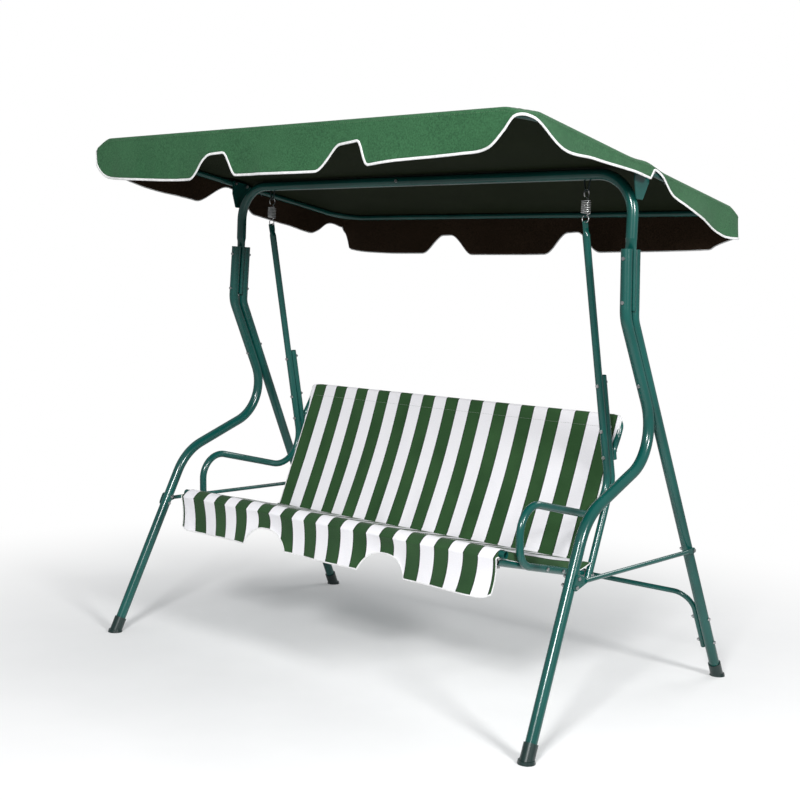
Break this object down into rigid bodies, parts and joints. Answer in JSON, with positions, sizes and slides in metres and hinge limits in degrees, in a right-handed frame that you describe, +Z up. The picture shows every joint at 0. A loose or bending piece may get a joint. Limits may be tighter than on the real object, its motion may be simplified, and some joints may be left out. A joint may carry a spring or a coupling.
{
  "type": "canopy swing bench",
  "caption": "Garden swing bench with a fabric sling seat hung on springs from a tube stand with S-bent front legs, under a scalloped fabric canopy.",
  "frame": {"origin": "on the floor, under the middle of the overall box", "axes": "+X along the bench to the right as seen from its front, -Y out of its front, +Z up"},
  "size_m": [1.708, 1.2259, 1.6187],
  "materials": {
    "green_paint": "gloss powder coat",
    "boot_plastic": "moulded, matt",
    "canopy_fabric": "woven polyester with a light piped hem",
    "striped_fabric": "woven sling fabric in green and white stripes",
    "white_cord": "braided cord",
    "zinc": "zinc plated",
    "spring_steel": "bright plated"
  },
  "bodies": {
    "stand": {"front_leg_left": "green_paint", "front_leg_right": "green_paint", "rear_leg_left": "green_paint", "rear_leg_right": "green_paint", "foot_caps": "boot_plastic", "top_beam_left": "green_paint", "top_beam_right": "green_paint", "side_brace_left": "green_paint", "side_brace_right": "green_paint", "rear_crossbar": "green_paint", "canopy_bracket_left": "green_paint", "canopy_bracket_right": "green_paint", "canopy_hoop_front": "green_paint", "canopy_hoop_rear": "green_paint", "canopy_hoop_screws": "zinc", "canopy_cover": "canopy_fabric", "hook_eyes": "zinc", "leg_clamp_bolts": "zinc", "brace_bolts": "zinc", "crossbar_bolts": "zinc", "beam_splice_bolt": "zinc", "canopy_bracket_bolts": "zinc", "stand_nuts": "zinc"},
    "link": {"spring_left": "spring_steel", "spring_right": "spring_steel"},
    "seat": {"seat_side_tube_left": "green_paint", "seat_side_tube_right": "green_paint", "back_upright_left": "green_paint", "back_upright_right": "green_paint", "seat_rail_left": "green_paint", "seat_rail_right": "green_paint", "seat_bar_front": "green_paint", "seat_bar_rear": "green_paint", "back_frame": "green_paint", "seat_sling": "striped_fabric", "back_sling": "striped_fabric", "tie_cords": "white_cord", "seat_bolts": "zinc", "seat_nuts": "zinc", "bar_screws": "zinc"}
  },
  "joints": [
    {"name": "swing", "type": "hinge", "parent": "stand", "child": "link", "pos_m": [0, -0.0115, 1.476], "axis": [1, 0, 0], "range_deg": [-22, 22]},
    {"name": "bounce", "type": "slide", "parent": "link", "child": "seat", "axis": [0, 0, 1], "range_m": [-0.04, 0], "stiffness_N_per_m": 6000, "springref_m": 0.03, "deforming": ["spring_left", "spring_right"]}
  ]
}
